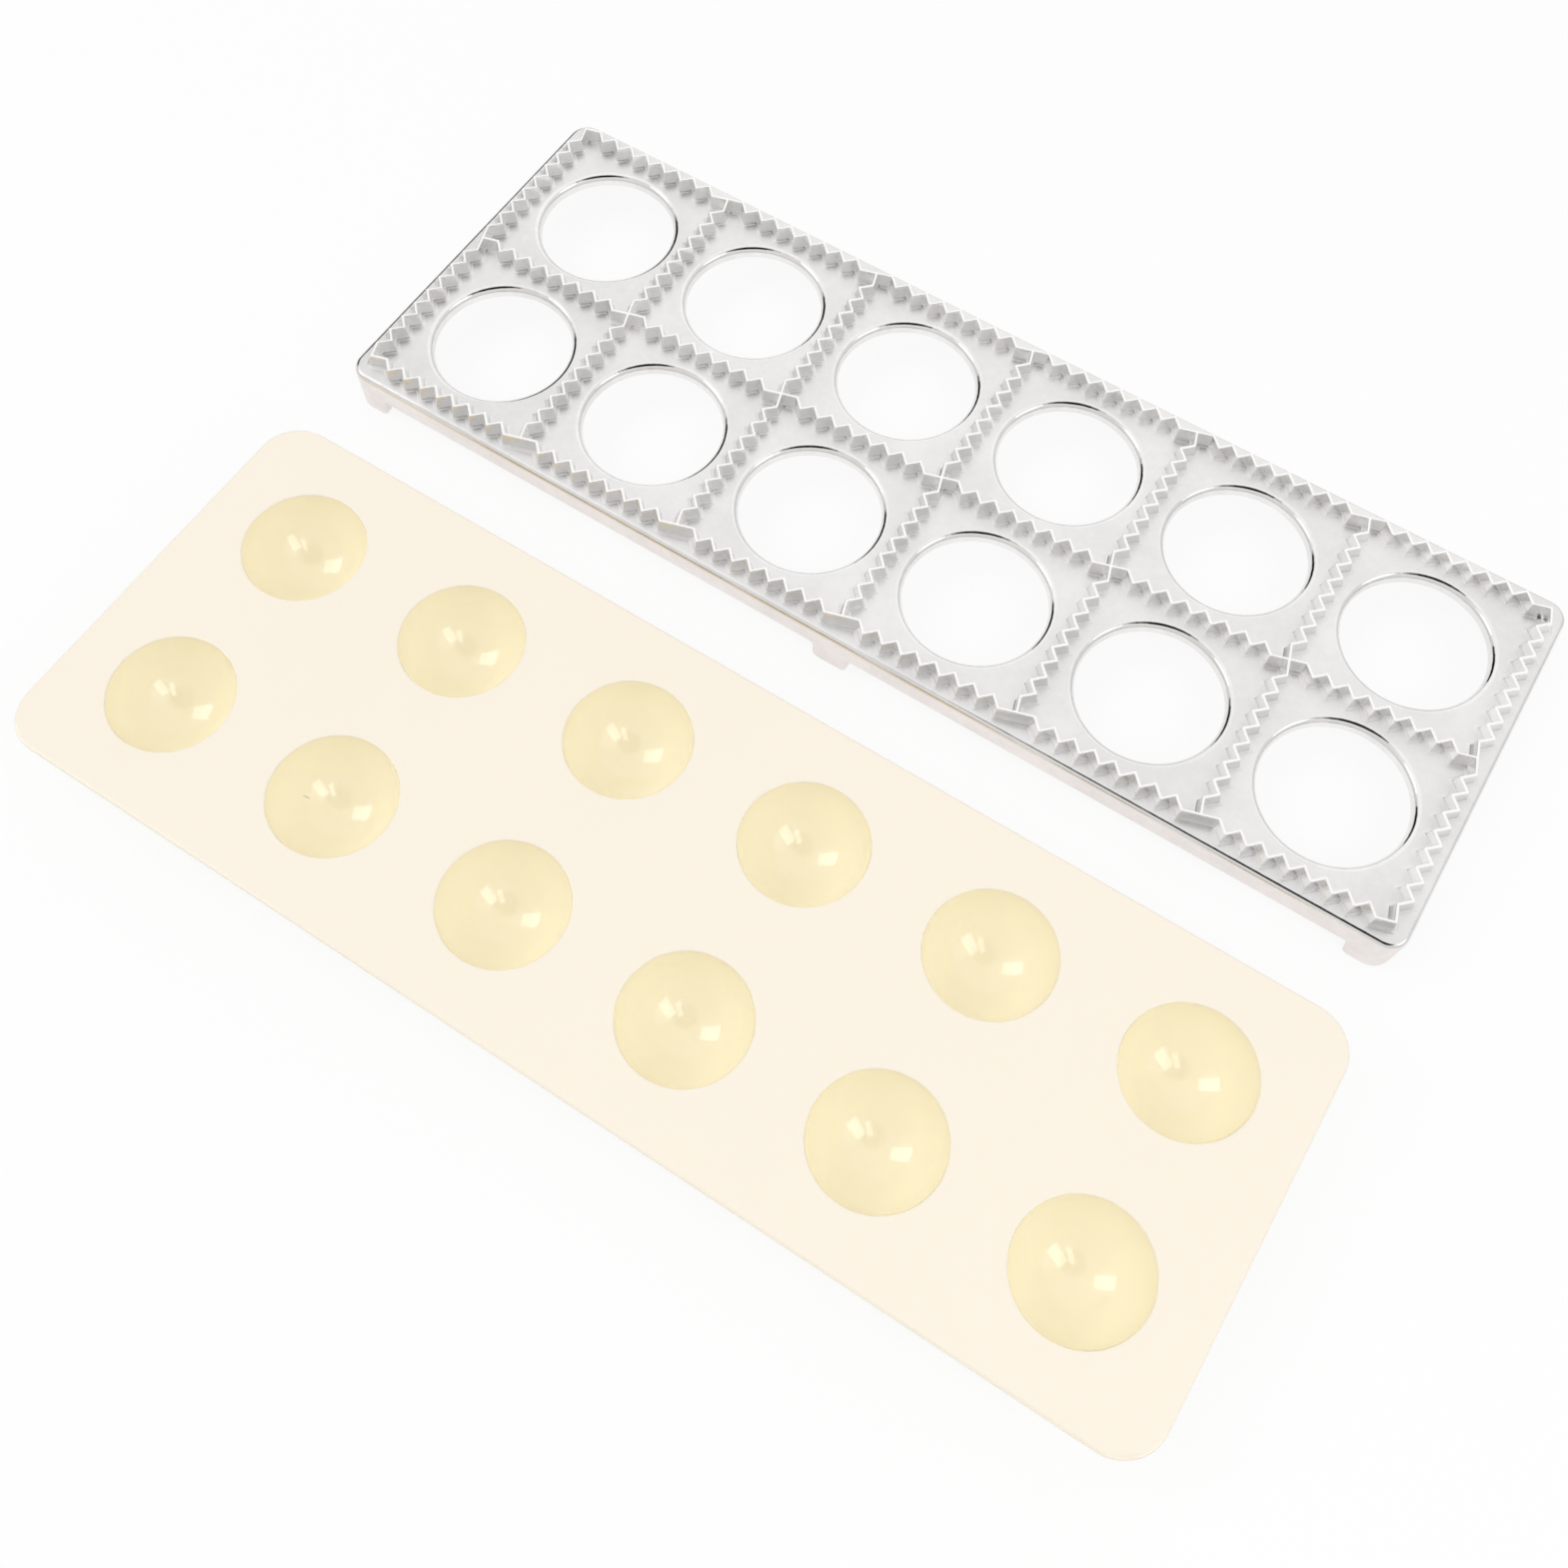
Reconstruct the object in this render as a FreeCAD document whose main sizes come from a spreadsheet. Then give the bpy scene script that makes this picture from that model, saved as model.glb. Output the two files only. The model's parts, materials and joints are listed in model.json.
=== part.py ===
"""Ravioli mold: a cast cutting tray with zigzag ridges, and the moulded press plate that goes with it.

Millimetres, +Z up, the surface that both pieces stand on at z = 0. The length runs along X. The tray lies
on the +Y side and the press plate beside it on the -Y side, bowls upwards, as they are laid out for sale.
"""
import FreeCAD, Part
import Sketcher
import math
import os

SIZES = (
    ("pitch", 50.0, "side of one ravioli square, ridge to ridge"),
    ("columns", 6, "squares along the length"),
    ("rows", 2, "squares across the width"),
    ("tray_margin", 5.3, "from the outer ridge lines to the tray's edge"),
    ("tray_corner", 5.5, "corner radius of the tray in plan"),
    ("tray_height", 13.0, "from the table to the tray's flat top"),
    ("tray_plate", 3.0, "thickness of the tray's plate"),
    ("skirt_wall", 2.2, "thickness of the skirt and feet"),
    ("skirt_depth", 7.0, "from the flat top down to the skirt's lower edge"),
    ("edge_round", 1.4, "rounding of the tray's top edge"),
    ("corner_foot", 11.0, "length of a corner foot along each side"),
    ("middle_foot", 10.0, "length of the middle foot on a long side"),
    ("foot_round", 1.8, "rounding of a foot's lower ends"),
    ("hole_radius", 19.0, "radius of a hole below its lip"),
    ("lip_radius", 1.8, "rounding of the lip round a hole"),
    ("ridge_height", 3.5, "height of the cutting ridges over the flat top"),
    ("ridge_width", 0.9, "width of a ridge across its own line"),
    ("cross_reach", 4.375, "from a crossing of two ridges to the first tooth, along the ridge"),
    ("tooth_count", 8, "zigzags along one side of a square"),
    ("set_gap", 23.0, "space between the two pieces as laid out"),
    ("press_margin", 4.4, "from the outer bowl squares to the press plate's edge"),
    ("press_corner", 11.0, "corner radius of the press plate in plan"),
    ("press_plate", 2.0, "thickness of the press plate"),
    ("press_round", 0.6, "rounding of the press plate's upper and lower edges"),
    ("bowl_radius", 15.8, "inner radius of a bowl, which is a half sphere"),
    ("bowl_wall", 1.7, "wall of a bowl"),
    ("bowl_lip", 0.5, "rounding of a bowl's upper rim"),
)

# Sizes that follow from others, as expressions on the sheet
GRID_LENGTH = "Sizes.columns * Sizes.pitch"
GRID_WIDTH = "Sizes.rows * Sizes.pitch"
TRAY_LENGTH = f"({GRID_LENGTH} + 2 * Sizes.tray_margin)"
TRAY_WIDTH = f"({GRID_WIDTH} + 2 * Sizes.tray_margin)"
UNDERSIDE = "(Sizes.tray_height - Sizes.tray_plate)"
FOOT_HEIGHT = "(Sizes.tray_height - Sizes.skirt_depth)"
PRESS_LENGTH = f"({GRID_LENGTH} + 2 * Sizes.press_margin)"
PRESS_WIDTH = f"({GRID_WIDTH} + 2 * Sizes.press_margin)"
BUMP_RADIUS = "(Sizes.bowl_radius + Sizes.bowl_wall)"
PRESS_TOP = BUMP_RADIUS
PRESS_UNDERSIDE = f"({PRESS_TOP} - Sizes.press_plate)"
SET_WIDTH = f"({TRAY_WIDTH} + Sizes.set_gap + {PRESS_WIDTH})"
TRAY_Y = f"{SET_WIDTH} / 2 - {TRAY_WIDTH} / 2"
PRESS_Y = f"-{SET_WIDTH} / 2 + {PRESS_WIDTH} / 2"
FIRST_X = "(Sizes.pitch * (1 - Sizes.columns) / 2)"
FIRST_Y = "(Sizes.pitch * (1 - Sizes.rows) / 2)"
# The teeth share what the straight pieces leave of a square's side, and each turns by 90 degrees
TOOTH_PITCH = "((Sizes.pitch - 2 * Sizes.cross_reach) / (Sizes.tooth_count - 0.5))"
TOOTH_REACH = f"({TOOTH_PITCH} / 4)"
# Half of the ridge's width, measured straight across the ridge line at a tooth and at a crossing
BAND_AT_TOOTH = "Sizes.ridge_width / sqrt(2)"
BAND_AT_CROSS = f"Sizes.ridge_width / 2 / cos(atan({TOOTH_REACH} / Sizes.cross_reach))"
# How far a cut runs out past the solid
CUT_PAST = "1"
# Two heights or lengths closer than this are the same
CLOSE = 1e-4

doc = FreeCAD.newDocument("ravioli_mold")
sheet = doc.addObject("Spreadsheet::Sheet", "Sizes")
for line, (alias, size, meaning) in enumerate(SIZES, start=1):
    sheet.set(f"A{line}", meaning)
    sheet.set(f"B{line}", str(size))
    sheet.setAlias(f"B{line}", alias)
doc.recompute()


def number(expression):
    """The value of an expression on the sheet, used for first positions and to pick edges."""
    return float(sheet.evalExpression(expression.replace("Sizes.", "")))


def count(alias):
    return int(round(number(f"Sizes.{alias}")))


def datum(body, role):
    """One of the body's own origin planes or axes."""
    return next(f for f in body.Origin.OriginFeatures if f.Role == role)


def new_sketch(body, name, role, offsets=(), turn=0):
    """A sketch on one of the body's own planes, moved by (axis, expression) pairs and turned in plane."""
    sketch = body.newObject("Sketcher::SketchObject", name)
    sketch.AttachmentSupport = [(datum(body, role), "")]
    sketch.MapMode = "FlatFace"
    sketch.AttachmentOffset = FreeCAD.Placement(FreeCAD.Vector(), FreeCAD.Rotation(turn, 0, 0))
    for axis, expression in offsets:
        sketch.setExpression(f"AttachmentOffset.Base.{axis}", expression)
    return sketch


def line(sketch, start, end):
    """A straight edge between two points of the sketch."""
    return sketch.addGeometry(Part.LineSegment(FreeCAD.Vector(*start, 0), FreeCAD.Vector(*end, 0)), False)


def arc(sketch, centre, radius, start):
    """A quarter of a circle, from the start angle in degrees on against the clock."""
    circle = Part.Circle(FreeCAD.Vector(*centre, 0), FreeCAD.Vector(0, 0, 1), radius)
    first = math.radians(start)
    return sketch.addGeometry(Part.ArcOfCircle(circle, first, first + math.pi / 2), False)


def constrain(sketch, kind, *place):
    return sketch.addConstraint(Sketcher.Constraint(kind, *place))


def dimension(sketch, name, kind, *place, size):
    """A named dimension bound to an expression on the sheet."""
    sketch.renameConstraint(constrain(sketch, kind, *place, number(size)), name)
    sketch.setExpression(f"Constraints.{name}", size)


def rounded_rectangle(sketch, length, width, radius):
    """A rectangle centred on the origin with equal round corners."""
    a, b, r = number(length) / 2, number(width) / 2, number(radius)
    corners = ((a - r, b - r, 0), (r - a, b - r, 90), (r - a, r - b, 180), (a - r, r - b, 270))
    arcs = [arc(sketch, (x, y), r, start) for x, y, start in corners]
    sides = (((a - r, b), (r - a, b)), ((-a, b - r), (-a, r - b)), ((r - a, -b), (a - r, -b)),
             ((a, r - b), (a, b - r)))
    lines = [line(sketch, start, end) for start, end in sides]
    for corner, side, following in zip(arcs, lines, arcs[1:] + arcs[:1]):
        constrain(sketch, "Tangent", corner, 2, side, 1)
        constrain(sketch, "Tangent", side, 2, following, 1)
    for corner in arcs[1:]:
        constrain(sketch, "Equal", arcs[0], corner)
    top, left, bottom, right = lines
    constrain(sketch, "Horizontal", top)
    constrain(sketch, "Vertical", left)
    constrain(sketch, "Symmetric", top, 1, bottom, 1, -1, 1)
    dimension(sketch, "length", "DistanceX", left, 1, right, 1, size=length)
    dimension(sketch, "width", "DistanceY", bottom, 1, top, 1, size=width)
    dimension(sketch, "corner", "Radius", arcs[0], size=radius)


def polygon(sketch, corners):
    """A closed outline whose corners are (x, y) pairs of expressions, each bound to the sheet."""
    points = [(number(x), number(y)) for x, y in corners]
    lines = [line(sketch, start, end) for start, end in zip(points, points[1:] + points[:1])]
    for edge, following in zip(lines, lines[1:] + lines[:1]):
        constrain(sketch, "Coincident", edge, 2, following, 1)
    for index, (edge, (x, y)) in enumerate(zip(lines, corners)):
        dimension(sketch, f"x{index}", "DistanceX", -1, 1, edge, 1, size=x)
        dimension(sketch, f"y{index}", "DistanceY", -1, 1, edge, 1, size=y)


def pad(body, name, sketch, length):
    feature = body.newObject("PartDesign::Pad", name)
    feature.Profile = sketch
    feature.setExpression("Length", length)
    return feature


def pocket(body, name, sketch, depth=None):
    """A cut upwards to a given depth, or right through both ways."""
    feature = body.newObject("PartDesign::Pocket", name)
    feature.Profile = sketch
    if depth:
        feature.Reversed = True
        feature.setExpression("Length", depth)
    else:
        feature.Type = "ThroughAll"
        feature.Midplane = True
    return feature


def turned(body, kind, name, sketch):
    """A Revolution or Groove, a full turn about the sketch's own vertical axis."""
    feature = body.newObject(f"PartDesign::{kind}", name)
    feature.Profile = sketch
    feature.ReferenceAxis = (sketch, ["V_Axis"])
    feature.Angle = 360
    return feature


def grid(body, name, feature, columns="Sizes.columns", rows="Sizes.rows"):
    """Copies of a feature, a pitch apart along X and Y; the numbers of copies are expressions."""
    pattern = body.newObject("PartDesign::MultiTransform", name)
    pattern.Originals = [feature]
    steps = []
    for axis, copies in (("X", columns), ("Y", rows)):
        step = body.newObject("PartDesign::LinearPattern", f"{name}_{axis.lower()}")
        step.Direction = (datum(body, f"{axis}_Axis"), [""])
        step.setExpression("Length", f"Sizes.pitch * ({copies} - 1)")
        step.setExpression("Occurrences", copies)
        steps.append(step)
    pattern.Transformations = steps
    body.Tip = pattern
    return pattern


def fillet(body, name, base, chosen, radius):
    """Rounds the edges of the base feature for which chosen(edge) is true."""
    doc.recompute()
    names = [f"Edge{i}" for i, edge in enumerate(base.Shape.Edges, start=1) if chosen(edge)]
    if not names:
        raise RuntimeError(f"{name}: no edge to round")
    feature = body.newObject("PartDesign::Fillet", name)
    feature.Base = (base, names)
    feature.setExpression("Radius", radius)
    return feature


def level(edge, *heights):
    """Whether an edge lies flat at one of the heights, each an expression."""
    box = edge.BoundBox
    return any(max(abs(box.ZMin - z), abs(box.ZMax - z)) < CLOSE for z in map(number, heights))


def ridge_outline():
    """One ridge from crossing to crossing: a straight piece, the teeth, and a straight piece.

    Its middle line starts at the crossing at (0, 0), and the band lies evenly on both sides of it.
    """
    middle = [("0", "0", BAND_AT_CROSS)]
    for corner in range(2 * count("tooth_count")):
        side = "-" if corner % 2 else ""
        along = f"Sizes.cross_reach + {corner} * {TOOTH_PITCH} / 2"
        middle.append((along, f"{side}{TOOTH_REACH}", BAND_AT_TOOTH))
    middle.append(("Sizes.pitch", "0", BAND_AT_CROSS))
    upper = [(along, f"{across} + {band}") for along, across, band in middle]
    lower = [(along, f"{across} - {band}") for along, across, band in middle]
    return lower + upper[::-1]


def hole_section(sketch):
    """What a hole cuts away on one side of its axis: straight below, and flared to a round lip on top."""
    floor_level = f"{UNDERSIDE} - {CUT_PAST}"
    ceiling_level = f"Sizes.tray_height + {CUT_PAST}"
    under, top, over = (number(height) for height in (floor_level, "Sizes.tray_height", ceiling_level))
    radius, lip = number("Sizes.hole_radius"), number("Sizes.lip_radius")
    floor = line(sketch, (0, under), (radius, under))
    wall = line(sketch, (radius, under), (radius, top - lip))
    flare = arc(sketch, (radius + lip, top - lip), lip, 90)
    rise = line(sketch, (radius + lip, top), (radius + lip, over))
    ceiling = line(sketch, (radius + lip, over), (0, over))
    axis = line(sketch, (0, over), (0, under))
    constrain(sketch, "Tangent", wall, 2, flare, 2)
    for edge, end, following in ((floor, 2, wall), (flare, 1, rise), (rise, 2, ceiling), (ceiling, 2, axis),
                                 (axis, 2, floor)):
        constrain(sketch, "Coincident", edge, end, following, 1)
    for edge in (floor, ceiling):
        constrain(sketch, "Horizontal", edge)
    for edge in (wall, rise):
        constrain(sketch, "Vertical", edge)
    for end in (1, 2):
        constrain(sketch, "PointOnObject", axis, end, -2)
    constrain(sketch, "Vertical", flare, 1, flare, 3)
    dimension(sketch, "radius", "DistanceX", -1, 1, wall, 1, size="Sizes.hole_radius")
    dimension(sketch, "lip", "Radius", flare, size="Sizes.lip_radius")
    dimension(sketch, "top", "DistanceY", -1, 1, flare, 1, size="Sizes.tray_height")
    dimension(sketch, "under", "DistanceY", -1, 1, floor, 1, size=floor_level)
    dimension(sketch, "over", "DistanceY", -1, 1, ceiling, 1, size=ceiling_level)


def quarter_disc(sketch, radius):
    """A quarter of a disc below the press plate's top, whose turn about the axis is a half sphere."""
    top, reach = number(PRESS_TOP), number(radius)
    rim = arc(sketch, (0, top), reach, 270)
    flat = line(sketch, (reach, top), (0, top))
    axis = line(sketch, (0, top), (0, top - reach))
    for edge, end, following, start in ((rim, 2, flat, 1), (flat, 2, axis, 1), (axis, 2, rim, 1),
                                        (rim, 3, flat, 2)):
        constrain(sketch, "Coincident", edge, end, following, start)
    constrain(sketch, "Horizontal", flat)
    for end in (1, 2):
        constrain(sketch, "PointOnObject", axis, end, -2)
    dimension(sketch, "radius", "Radius", rim, size=radius)
    dimension(sketch, "top", "DistanceY", -1, 1, flat, 2, size=PRESS_TOP)


def foot_gap(body, name, role, ends):
    """Cuts the skirt away between two feet, in all walls that the gap runs through."""
    gap = new_sketch(body, name, role)
    polygon(gap, [(ends[0], f"-{CUT_PAST}"), (ends[1], f"-{CUT_PAST}"), (ends[1], FOOT_HEIGHT),
                  (ends[0], FOOT_HEIGHT)])
    return pocket(body, f"{name}_cut", gap)


def cutting_tray():
    """The tray: a skirted plate on six feet, with lipped holes and a grid of zigzag ridges."""
    body = doc.addObject("PartDesign::Body", "cutting_tray")
    outline = new_sketch(body, "tray_outline", "XY_Plane")
    rounded_rectangle(outline, TRAY_LENGTH, TRAY_WIDTH, "Sizes.tray_corner")
    pad(body, "tray_block", outline, "Sizes.tray_height")
    inside = new_sketch(body, "skirt_inside", "XY_Plane")
    rounded_rectangle(inside, f"{TRAY_LENGTH} - 2 * Sizes.skirt_wall", f"{TRAY_WIDTH} - 2 * Sizes.skirt_wall",
                      "Sizes.tray_corner - Sizes.skirt_wall")
    pocket(body, "tray_underside", inside, UNDERSIDE)

    for name, side in (("right_gap", 1), ("left_gap", -1)):
        foot_gap(body, name, "XZ_Plane", (f"{side} * Sizes.middle_foot / 2",
                                          f"{side} * ({TRAY_LENGTH} / 2 - Sizes.corner_foot)"))
    end = f"({TRAY_WIDTH} / 2 - Sizes.corner_foot)"
    standing = foot_gap(body, "end_gap", "YZ_Plane", (f"-{end}", end))
    wall = number("Sizes.skirt_wall")
    rounded = fillet(body, "foot_ends", standing,
                     lambda edge: level(edge, "0") and abs(edge.Length - wall) < CLOSE, "Sizes.foot_round")
    fillet(body, "top_edge", rounded, lambda edge: level(edge, "Sizes.tray_height"), "Sizes.edge_round")

    section = new_sketch(body, "hole_section", "XZ_Plane", (("x", FIRST_X), ("z", f"-{FIRST_Y}")))
    hole_section(section)
    grid(body, "holes", turned(body, "Groove", "hole", section))

    corner_x, corner_y = f"-{GRID_LENGTH} / 2", f"-{GRID_WIDTH} / 2"
    along = new_sketch(body, "ridge_along_outline", "XY_Plane",
                       (("x", corner_x), ("y", corner_y), ("z", "Sizes.tray_height")))
    polygon(along, ridge_outline())
    grid(body, "ridges_along", pad(body, "ridge_along", along, "Sizes.ridge_height"),
         rows="(Sizes.rows + 1)")
    across = new_sketch(body, "ridge_across_outline", "XY_Plane",
                        (("x", corner_x), ("y", f"{corner_y} + Sizes.pitch"), ("z", "Sizes.tray_height")),
                        turn=-90)
    polygon(across, ridge_outline())
    grid(body, "ridges_across", pad(body, "ridge_across", across, "Sizes.ridge_height"),
         columns="(Sizes.columns + 1)")
    body.setExpression("Placement.Base.y", TRAY_Y)
    return body


def press_plate():
    """The press plate: a thin plate with twelve bowls that stand on the table as bumps."""
    body = doc.addObject("PartDesign::Body", "press_plate")
    outline = new_sketch(body, "press_outline", "XY_Plane", (("z", PRESS_UNDERSIDE),))
    rounded_rectangle(outline, PRESS_LENGTH, PRESS_WIDTH, "Sizes.press_corner")
    plate = pad(body, "plate", outline, "Sizes.press_plate")
    fillet(body, "plate_edges", plate, lambda edge: level(edge, PRESS_TOP, PRESS_UNDERSIDE),
           "Sizes.press_round")
    first_bowl = (("x", FIRST_X), ("z", f"-{FIRST_Y}"))
    outer = new_sketch(body, "bump_section", "XZ_Plane", first_bowl)
    quarter_disc(outer, BUMP_RADIUS)
    grid(body, "bumps", turned(body, "Revolution", "bump", outer))
    inner = new_sketch(body, "bowl_section", "XZ_Plane", first_bowl)
    quarter_disc(inner, "Sizes.bowl_radius")
    bowls = grid(body, "bowls", turned(body, "Groove", "bowl", inner))
    fillet(body, "bowl_rims", bowls, lambda edge: edge.isClosed() and level(edge, PRESS_TOP),
           "Sizes.bowl_lip")
    body.setExpression("Placement.Base.y", PRESS_Y)
    return body


nodes = (cutting_tray(), press_plate())
doc.recompute()
for item in doc.Objects:
    if "Invalid" in item.State or "Error" in item.State:
        raise RuntimeError(f"{item.Name}: {item.State}")
for node in nodes:
    if node.Shape.isNull() or not node.Shape.isValid() or len(node.Shape.Solids) != 1:
        raise RuntimeError(f"{node.Label}: shape is not one valid solid")
os.makedirs("parts", exist_ok=True)
for node in nodes:
    node.Shape.exportStep(f"parts/{node.Label}.step")
    box = node.Shape.optimalBoundingBox(True, False)
    print(f"{node.Label}: {box.XLength:.2f} x {box.YLength:.2f} x {box.ZLength:.2f} mm, "
          f"z from {box.ZMin:.3f}, {node.Shape.Volume / 1000:.2f} cm3, {len(node.Shape.Faces)} faces")
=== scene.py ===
"""Ravioli mold: the looks of a cast cutting tray with zigzag ridges and of the press plate beside it.

Metres, +Z up, both pieces on the floor at z = 0: the tray on the +Y side, the press plate on the -Y side.
"""
import json
import math

import bpy
import numpy as np
from bpy.props import FloatProperty, FloatVectorProperty, IntProperty, PointerProperty
from mathutils import Matrix, Vector

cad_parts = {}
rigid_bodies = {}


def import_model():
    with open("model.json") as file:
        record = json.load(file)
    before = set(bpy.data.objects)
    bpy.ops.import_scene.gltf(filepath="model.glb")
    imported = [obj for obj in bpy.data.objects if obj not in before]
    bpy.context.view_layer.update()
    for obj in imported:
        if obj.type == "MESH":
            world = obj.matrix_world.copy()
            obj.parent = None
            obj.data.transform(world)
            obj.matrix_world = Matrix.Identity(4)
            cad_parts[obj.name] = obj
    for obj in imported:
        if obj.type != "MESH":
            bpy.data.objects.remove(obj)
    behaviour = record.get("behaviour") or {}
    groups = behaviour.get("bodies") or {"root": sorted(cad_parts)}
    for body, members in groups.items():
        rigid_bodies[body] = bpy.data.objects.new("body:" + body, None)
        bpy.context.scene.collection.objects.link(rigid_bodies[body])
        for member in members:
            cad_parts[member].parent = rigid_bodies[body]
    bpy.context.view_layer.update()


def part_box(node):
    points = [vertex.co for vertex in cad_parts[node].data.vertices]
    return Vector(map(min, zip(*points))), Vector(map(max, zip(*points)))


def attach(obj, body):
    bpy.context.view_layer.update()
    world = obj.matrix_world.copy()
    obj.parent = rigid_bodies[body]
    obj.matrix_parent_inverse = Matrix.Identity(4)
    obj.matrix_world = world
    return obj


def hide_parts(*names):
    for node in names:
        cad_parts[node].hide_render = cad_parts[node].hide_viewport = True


bl_info = {
    "name": "Ravioli mold",
    "version": (1, 0, 0),
    "blender": (4, 5, 0),
    "location": "3D View > Sidebar > Ravioli mold",
    "description": "Makes a cast ravioli tray with zigzag ridges, its press plate and a plain pale studio",
    "category": "Add Mesh",
}

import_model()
BODY = "root"
MM = 0.001
# Corners of one square, and quarter turns in a full turn
SQUARE = 4
# Points closer than this become one vertex
WELD = 0.001 * MM
METAL_PIECE, PLASTIC_PIECE = "cast_tray", "cream_press_plate"

# Columns of the tray's grid: at each corner of the zigzag, at each of the tray's corners, and of the latter
# those that lie on each side of its arc
TOOTH_COLUMNS, CORNER_COLUMNS, STRAIGHT_COLUMNS = 3, 21, 6
# The outer columns at a corner of the zigzag lie this share of a tooth from it
TOOTH_SHARE = 1 / 3
# Columns at a crossing lie apart on the tray's edge by this share of the way to the first tooth
EDGE_SHARE = 1 / 3
# Columns of the press plate's grid: along one side of a square, and at each of the plate's corners, whose
# neighbours share out this much of its arc
SIDE_COLUMNS, PRESS_CORNER_COLUMNS, PRESS_FIRST_TURN = 24, 9, math.radians(20)
# Steps of the tray's curves: a ridge's shoulder, its foot, each half of the low step, the lip, the top edge,
# the skirt's rims, and the rounded end and root of a foot
SHOULDER_STEPS, FOOT_STEPS, SLOPE_STEPS, LIP_STEPS, EDGE_STEPS, RIM_STEPS = 3, 4, 2, 6, 5, 3
END_STEPS, ROOT_STEPS = 5, 4
# Steps of the press plate's curves: its edges, a bowl and its lip, a bump and its foot
PRESS_EDGE_STEPS, BOWL_STEPS, BOWL_LIP_STEPS, BUMP_STEPS, BUMP_FOOT_STEPS = 4, 19, 4, 16, 4
# A corner of the zigzag keeps at least this share of its rounding where the ridge's wall runs inside of it
LEAST_ROUND = 0.7
# How far the points round a hole turn from the square's columns to those of the ridge beside them
ROW_SHARE = 0.75
# The row above the skirt's lower edge, as a share of the skirt's depth
UPPER_ROW = 0.75
# Columns of a corner that stay under its foot, counted from either side, and the columns before and beyond
# the roundings of a corner foot and of a middle one
KEPT_COLUMNS, CORNER_RUN, MIDDLE_RUN = 5, (3, 3), (0, 2)
# How far a foot's columns splay on the row above it, as a share of their drop
SPLAY = 0.07

# The cast skin: waves to a metre of its clouds, mottling, grain and uneven walls, how deep its bumps go, and
# the mottling's share in them
CLOUD_WAVES, MOTTLING_WAVES, GRAIN_WAVES, UNEVEN_WAVES = 55.0, 420.0, 2600.0, 900.0
CLOUD_DEPTH, MOTTLING_DEPTH, GRAIN_DEPTH, MOTTLING_BUMP = 0.25 * MM, 0.06 * MM, 0.004 * MM, 0.3
# Its shades, as shares of the metal's colour: clouded, clear, on the ridge tops as a painted highlight, on
# the pit's ring as a painted highlight, and in the pit as painted shade
CLOUDED, CLEAR, TOP_HIGHLIGHT, RING_HIGHLIGHT, PIT_SHADE = 0.94, 1.05, 1.1, 1.2, 0.2
# How much of the clouding comes from the clouds, the rest being mottling, and where it goes over into clear
CLOUD_SHARE, CLEARING = 0.6, (0.3, 0.7)
# What its roughness starts with under the set one, and what its parts add
START_ROUGHNESS, MOTTLING_ROUGHNESS, CLOUD_ROUGHNESS = -0.08, 0.12, 0.05
WALL_ROUGHNESS, EDGE_ROUGHNESS = -0.22, -0.29
# Shares of the ridges' height up to which their walls' finish grows, and from which their tops get a painted
# highlight
WALL_SHARE, TOP_HIGHLIGHT_SHARE = 0.2, 0.85
# Depths under the flat top between which the satin skin gives way to the smoother one of lips and edges
SATIN_DEPTHS = (0.002 * MM, 0.06 * MM)
# A small ringed pit in the casting, in the flat's far right corner, painted dark as its shade inside a ring
# painted lighter as a highlight: its place, and the distances from it between which the pit ends, its ring
# rises and its ring falls
PIT_PLACE, PIT_EDGE = (148.7 * MM, 114.2 * MM), (0.3 * MM, 0.6 * MM)
RING_RISE, RING_FALL = (0.5 * MM, 0.8 * MM), (1.0 * MM, 1.3 * MM)

# The plastic: waves to a metre of its clouds and its moulded ripple, and the ripple's depth and roughness
PLASTIC_WAVES, RIPPLE_WAVES, RIPPLE_DEPTH, RIPPLE_ROUGHNESS = 30.0, 220.0, 0.006 * MM, 0.01
# Its shades where it is clouded and clear and in the nick, and its refraction
PLASTIC_CLOUDED, PLASTIC_CLEAR, NICK_SHADE, PLASTIC_IOR = 0.99, 1.01, 0.6, 1.58
# Depths under the plate's top between which a bowl takes on its painted glow, for light bounced round it and
# through its wall
BOWL_GLOW_DEPTHS = (0.1 * MM, 1.0 * MM)
# A short nick in one of the bowls: its place, its length, its direction from +X and how many times as long as
# wide it is; the shares of its length at which it fades; and those of the top's height at which it begins
NICK_PLACE, NICK_LENGTH, NICK_TURN, NICK_SLIM = (-85.65 * MM, -93.0 * MM), 1.5 * MM, math.radians(22), 6.0
NICK_FADE, NICK_HEIGHTS = (0.4, 0.6), (0.25, 0.3)

# The sky's patches, which the lips and edges mirror: directions to their middles, and the angles from there,
# in degrees, at which they begin and are whole. A broad bright one is behind the mold, two small bright ones
# at its right and left, and two dark ones over the camera and low at the far left.
GLOW_SIDE, GLOW_ANGLES = (-0.30, 0.50, 0.81), (55, 30)
SPARK_SIDES, SPARK_ANGLES = ((0.72, 0.10, 0.69), (-0.70, -0.30, 0.65)), (17, 11)
DARK_SIDES, DARK_ANGLES = ((0.21, -0.27, 0.94), (-0.88, 0.38, 0.28)), (24, 16)
# Upward parts of a direction between which the sky grows from its rim to its full strength
RIM_HEIGHTS = (0.0, 0.3)
# The floor's half length, its place under the pieces and its own white
FLOOR_HALF, FLOOR_DROP, FLOOR_WHITE = 2.0, 0.05 * MM, 0.9
# Places in Y between which its painted reflection of the shaded gap between the pieces fades in from either
# side, and places in Y and X between which its painted reflection of warm bounce light from the press plate
# does
GAP_SHADE_FAR, GAP_SHADE_NEAR = (30 * MM, 14 * MM), (-60 * MM, -30 * MM)
WARM_BOUNCE_ACROSS, WARM_BOUNCE_ALONG = (4.5 * MM, 1 * MM), (80 * MM, 20 * MM)
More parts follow.
